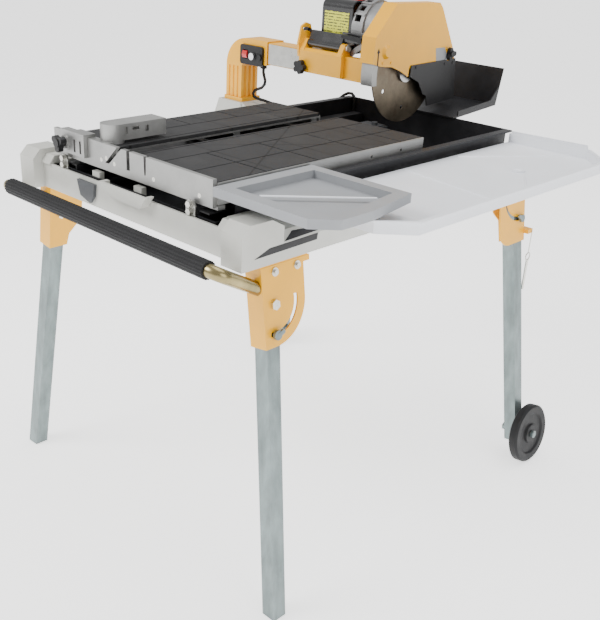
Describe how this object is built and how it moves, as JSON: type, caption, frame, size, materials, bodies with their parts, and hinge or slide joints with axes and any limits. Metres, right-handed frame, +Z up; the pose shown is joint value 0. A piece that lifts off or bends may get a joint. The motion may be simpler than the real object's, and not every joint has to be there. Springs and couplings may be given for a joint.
{
  "type": "wet tile saw",
  "caption": "Wet tile saw with a rolling table, cantilevered bevelling head, water pan and side trays on a folding wheeled stand.",
  "frame": {"origin": "centre of the bounding box on the floor, with the legs down, the table at the front stop and the head down and square", "axes": "+Z up, +Y the way the table is pushed into the blade, +X the operator's right"},
  "size_m": [1.076, 1.2242, 1.079],
  "materials": {
    "casing_grey": "satin",
    "pan_black": "satin",
    "rail_black": "satin",
    "zinc": "satin",
    "bolt_zinc": "satin",
    "yellow_paint": "gloss",
    "chromate": "satin",
    "grip_rubber": "matte",
    "black_plastic": "satin",
    "chrome": "polished",
    "red_plastic": "gloss",
    "cable_rubber": "matte",
    "dark_plastic": "matte",
    "tray_white": "satin",
    "tray_grey": "satin",
    "table_aluminium": "brushed",
    "mat_rubber": "matte",
    "cast_grey": "cast",
    "motor_black": "satin",
    "label_yellow": "satin",
    "winding": "satin",
    "steel": "satin",
    "belt_rubber": "matte",
    "blade_steel": "satin",
    "leg_zinc": "satin",
    "wheel_black": "matte"
  },
  "bodies": {
    "base": {"base_casing": "casing_grey", "water_pan": "pan_black", "rail_supports": "casing_grey", "table_rails": "rail_black", "rail_end_brackets": "zinc", "frame_bolts": "bolt_zinc", "bracket_front_right": "yellow_paint", "bracket_front_left": "yellow_paint", "bracket_rear_right": "yellow_paint", "bracket_rear_left": "yellow_paint", "handle_tube": "chromate", "handle_grip": "grip_rubber", "column_elbow": "yellow_paint", "control_panel": "black_plastic", "panel_fittings": "black_plastic", "pump_cable": "cable_rubber", "water_pump": "dark_plastic", "drain_sump": "dark_plastic", "drain_plug": "black_plastic", "storage_clip": "dark_plastic", "arm_beam": "yellow_paint", "arm_slide_plate": "zinc", "saddle_block": "yellow_paint"},
    "rocker": {"power_rocker": "red_plastic"},
    "breaker": {"breaker_button": "chrome"},
    "saddle_screw": {"saddle_knob": "black_plastic"},
    "table": {"table_frame": "table_aluminium", "table_mat": "mat_rubber", "fence_plate": "table_aluminium", "fence_screws": "bolt_zinc"},
    "rollers_front": {"table_rollers_front": "dark_plastic"},
    "rollers_rear": {"table_rollers_rear": "dark_plastic"},
    "side_table": {"side_table": "tray_grey"},
    "guide": {"angle_guide": "table_aluminium"},
    "guide_screw": {"guide_knob": "black_plastic"},
    "splash_tray": {"side_splash_tray": "tray_white"},
    "splash_guard": {"rear_splash_guard": "pan_black"},
    "plunge_arm": {"head_frame": "motor_black", "plunge_knob": "black_plastic"},
    "bevel_lock": {"bevel_lever": "black_plastic"},
    "head": {"motor_housing": "cast_grey", "motor_cover": "motor_black", "rating_plate": "label_yellow", "head_handle": "red_plastic", "motor_stator": "winding", "drive_belt": "belt_rubber", "blade_guard": "yellow_paint", "inner_guard": "table_aluminium", "splash_flaps": "mat_rubber"},
    "guard_screw": {"guard_knob": "black_plastic"},
    "rotor": {"motor_rotor": "steel"},
    "arbor": {"arbor_shaft": "steel", "saw_blade": "blade_steel"},
    "leg_fr": {"leg_front_right": "leg_zinc"},
    "leg_fl": {"leg_front_left": "leg_zinc"},
    "leg_rr": {"leg_rear_right": "leg_zinc"},
    "leg_rl": {"leg_rear_left": "leg_zinc"},
    "wheel_r": {"wheel_right": "wheel_black"},
    "wheel_l": {"wheel_left": "wheel_black"},
    "pin": {"hitch_pin": "bolt_zinc"}
  },
  "joints": [
    {"name": "table_travel", "type": "slide", "parent": "base", "child": "table", "axis": [0, 1, 0], "range_m": [0, 0.3]},
    {"name": "rollers_front_spin", "type": "hinge", "parent": "table", "child": "rollers_front", "pos_m": [0, -0.371, 0.756], "axis": [1, 0, 0], "continuous": true},
    {"name": "rollers_rear_spin", "type": "hinge", "parent": "table", "child": "rollers_rear", "pos_m": [0, -0.011, 0.756], "axis": [1, 0, 0], "continuous": true},
    {"name": "side_table_lift", "type": "slide", "parent": "table", "child": "side_table", "axis": [0, 0, 1], "range_m": [0, 0.08]},
    {"name": "guide_slide", "type": "slide", "parent": "table", "child": "guide", "axis": [1, 0, 0], "range_m": [0, 0.28]},
    {"name": "guide_knob_turn", "type": "hinge", "parent": "guide", "child": "guide_screw", "pos_m": [-0.216, -0.531, 0.815], "axis": [0, 1, 0], "range_deg": [0, 360]},
    {"name": "splash_tray_off", "type": "slide", "parent": "base", "child": "splash_tray", "axis": [1, 0, 0], "range_m": [0, 0.12]},
    {"name": "splash_guard_off", "type": "slide", "parent": "base", "child": "splash_guard", "axis": [0, 1, 0], "range_m": [0, 0.12]},
    {"name": "plunge", "type": "hinge", "parent": "base", "child": "plunge_arm", "pos_m": [-0.17, 0.213, 0.962], "axis": [1, 0, 0], "range_deg": [0, 20]},
    {"name": "bevel", "type": "hinge", "parent": "plunge_arm", "child": "head", "pos_m": [-0.017, 0.229, 0.858], "axis": [0, 1, 0], "range_deg": [0, 45]},
    {"name": "bevel_lock_turn", "type": "hinge", "parent": "plunge_arm", "child": "bevel_lock", "pos_m": [-0.0587, 0.205, 0.9864], "axis": [0, 1, 0], "range_deg": [0, 30]},
    {"name": "guard_knob_turn", "type": "hinge", "parent": "head", "child": "guard_screw", "pos_m": [0.012, 0.484, 0.946], "axis": [1, 0, 0], "range_deg": [0, 360]},
    {"name": "arbor_spin", "type": "hinge", "parent": "head", "child": "arbor", "pos_m": [-0.017, 0.335, 0.916], "axis": [1, 0, 0], "continuous": true},
    {"name": "rotor_spin", "type": "hinge", "parent": "head", "child": "rotor", "pos_m": [-0.13, 0.297, 1.007], "axis": [1, 0, 0], "continuous": true},
    {"name": "saddle_knob_turn", "type": "hinge", "parent": "base", "child": "saddle_screw", "pos_m": [-0.228, 0.184, 0.905], "axis": [0, 1, 0], "range_deg": [0, 360]},
    {"name": "power_rock", "type": "hinge", "parent": "base", "child": "rocker", "pos_m": [-0.44, 0.205, 0.908], "axis": [1, 0, 0], "range_deg": [0, 8]},
    {"name": "breaker_push", "type": "slide", "parent": "base", "child": "breaker", "axis": [0, 1, 0], "range_m": [0, 0.0025], "stiffness_N_per_m": 400},
    {"name": "leg_fr_fold", "type": "hinge", "parent": "base", "child": "leg_fr", "pos_m": [0.336, -0.479, 0.631], "axis": [0.9889, 0, 0.1483], "range_deg": [0, 92]},
    {"name": "leg_fl_fold", "type": "hinge", "parent": "base", "child": "leg_fl", "pos_m": [-0.336, -0.479, 0.631], "axis": [0.9889, 0, -0.1483], "range_deg": [0, 92]},
    {"name": "leg_rr_fold", "type": "hinge", "parent": "base", "child": "leg_rr", "pos_m": [0.3285, 0.334, 0.681], "axis": [-0.9889, 0, -0.1483], "range_deg": [0, 92]},
    {"name": "leg_rl_fold", "type": "hinge", "parent": "base", "child": "leg_rl", "pos_m": [-0.3285, 0.334, 0.681], "axis": [-0.9889, 0, 0.1483], "range_deg": [0, 92]},
    {"name": "wheel_r_spin", "type": "hinge", "parent": "leg_rr", "child": "wheel_r", "pos_m": [0.46179, 0.37108, 0.07548], "axis": [0.9889, 0, 0.1483], "continuous": true},
    {"name": "wheel_l_spin", "type": "hinge", "parent": "leg_rl", "child": "wheel_l", "pos_m": [-0.46179, 0.37108, 0.07548], "axis": [0.9889, 0, -0.1483], "continuous": true},
    {"name": "pin_swing", "type": "hinge", "parent": "base", "child": "pin", "pos_m": [0.366, 0.374, 0.595], "axis": [1, 0, 0], "range_deg": [0, 25]}
  ],
  "couplings": [
    {"joint": "arbor_spin", "follows": "rotor_spin", "ratio": 1}
  ]
}
